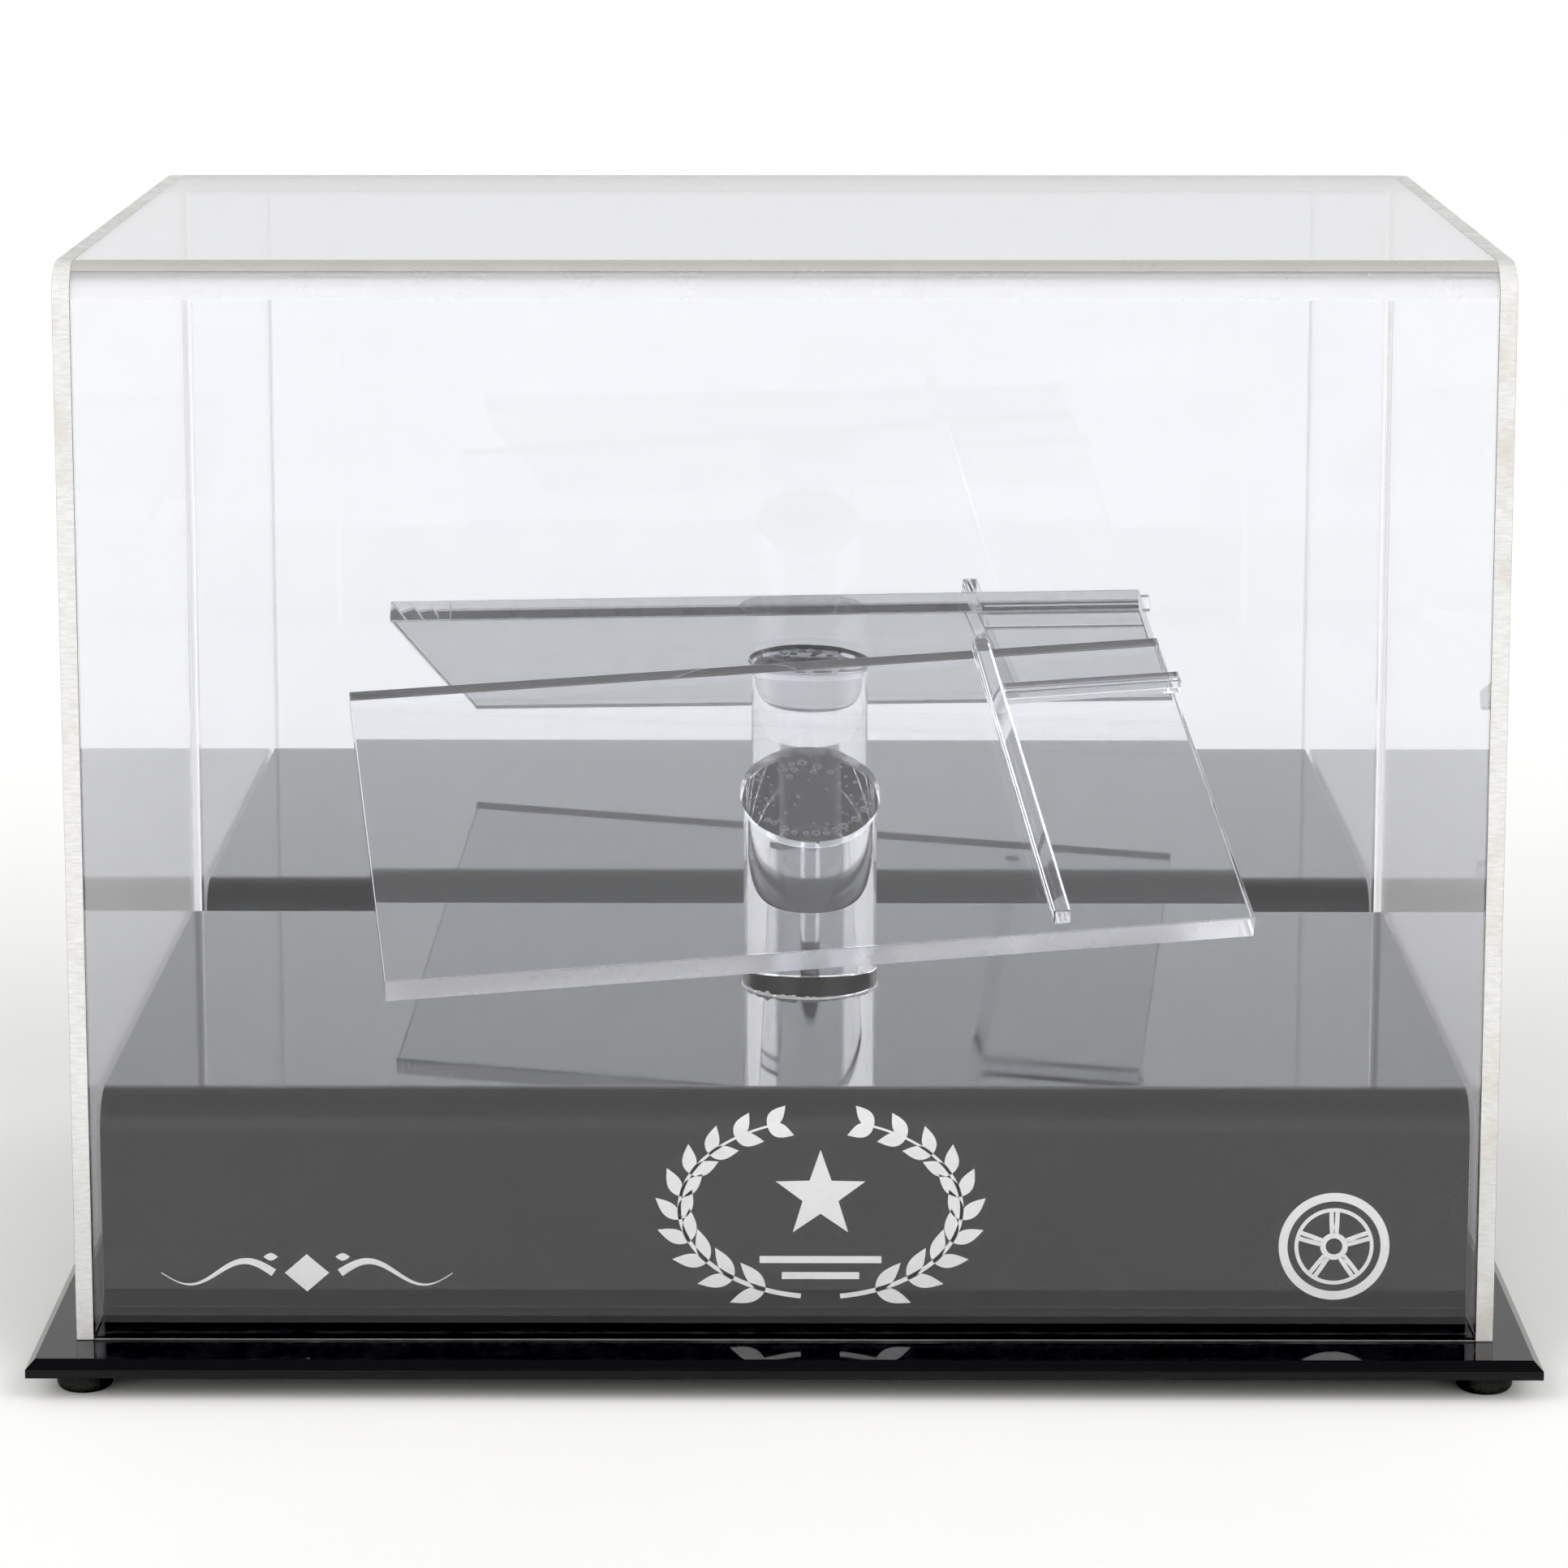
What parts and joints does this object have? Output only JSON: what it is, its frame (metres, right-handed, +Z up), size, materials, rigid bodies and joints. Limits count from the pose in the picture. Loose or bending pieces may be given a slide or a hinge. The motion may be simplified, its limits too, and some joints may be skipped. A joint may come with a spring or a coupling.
{
  "type": "scale model car display case",
  "caption": "Clear lift-off cover with a mirror in its back, over a black bent riser on a bevelled base plate; a clear rod holds a tilted clear platform with wheel stops.",
  "frame": {"origin": "under the middle of the base plate, at the height of the feet's soles", "axes": "+X across the width to the viewer's right, +Y to the mirror at the back, +Z up"},
  "size_m": [0.269, 0.195, 0.2017],
  "materials": {
    "clear_acrylic": "clear cast acrylic, polished faces and milky saw-cut edges",
    "black_acrylic": "high gloss black acrylic",
    "foot_rubber": "matt moulded rubber",
    "cement": "solvent cement film with small air bubbles",
    "mirror": "second-surface mirror acrylic",
    "tape": "thin double-sided tape"
  },
  "bodies": {
    "base": {"base_plate": "black_acrylic", "foot_front_left": "foot_rubber", "foot_front_right": "foot_rubber", "foot_back_left": "foot_rubber", "foot_back_right": "foot_rubber", "riser": "black_acrylic", "post_cement": "cement", "post": "clear_acrylic", "platform_cement": "cement", "platform": "clear_acrylic", "wheel_stop_bar": "clear_acrylic", "wheel_stop_rail": "clear_acrylic"},
    "cover": {"cover_wrap": "clear_acrylic", "cover_side_left": "clear_acrylic", "cover_side_right": "clear_acrylic", "mirror_panel": "mirror", "mirror_tape": "tape"}
  },
  "joints": [
    {"name": "cover_lift", "type": "slide", "parent": "base", "child": "cover", "axis": [0, 0, 1], "range_m": [0, 0.125]}
  ]
}
